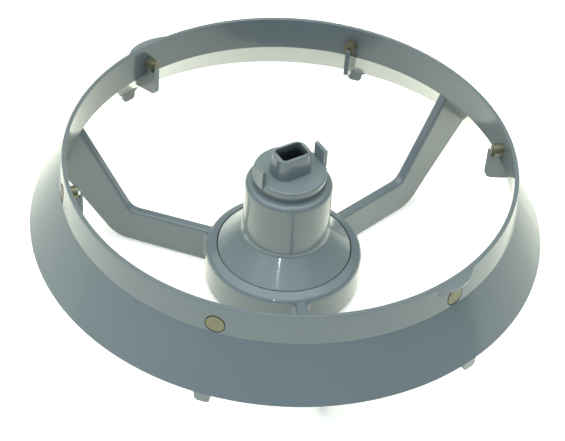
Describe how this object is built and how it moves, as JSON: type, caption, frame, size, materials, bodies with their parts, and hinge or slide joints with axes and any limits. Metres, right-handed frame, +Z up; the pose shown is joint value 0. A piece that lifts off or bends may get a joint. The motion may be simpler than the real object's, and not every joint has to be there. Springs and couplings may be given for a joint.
{
  "type": "food processor disc holder ring",
  "caption": "Plastic ring with a flared skirt that holds a slicing disc in a food processor, with cranked arms to a collar in which the disc's drive column turns.",
  "frame": {"origin": "on the turning axis, level with the lowest edges, which the part stands on", "axes": "+Z up along the turning axis towards the boss; +X and +Y level, with arms at 45, 165 and 285 degrees from +X"},
  "size_m": [0.1838, 0.1838, 0.0616],
  "materials": {
    "ring_plastic": "satin blue-grey moulded plastic",
    "column_plastic": "satin blue-grey moulded plastic",
    "pin_metal": "plain turned metal with a warm tone"
  },
  "bodies": {
    "ring": {"ring_carrier": "ring_plastic", "pin_1": "pin_metal", "pin_2": "pin_metal", "pin_3": "pin_metal", "pin_4": "pin_metal", "pin_5": "pin_metal", "pin_6": "pin_metal"},
    "column": {"drive_column": "column_plastic"}
  },
  "joints": [
    {"name": "column_spin", "type": "hinge", "parent": "ring", "child": "column", "pos_m": [0, 0, 0.012], "axis": [0, 0, 1], "continuous": true}
  ]
}
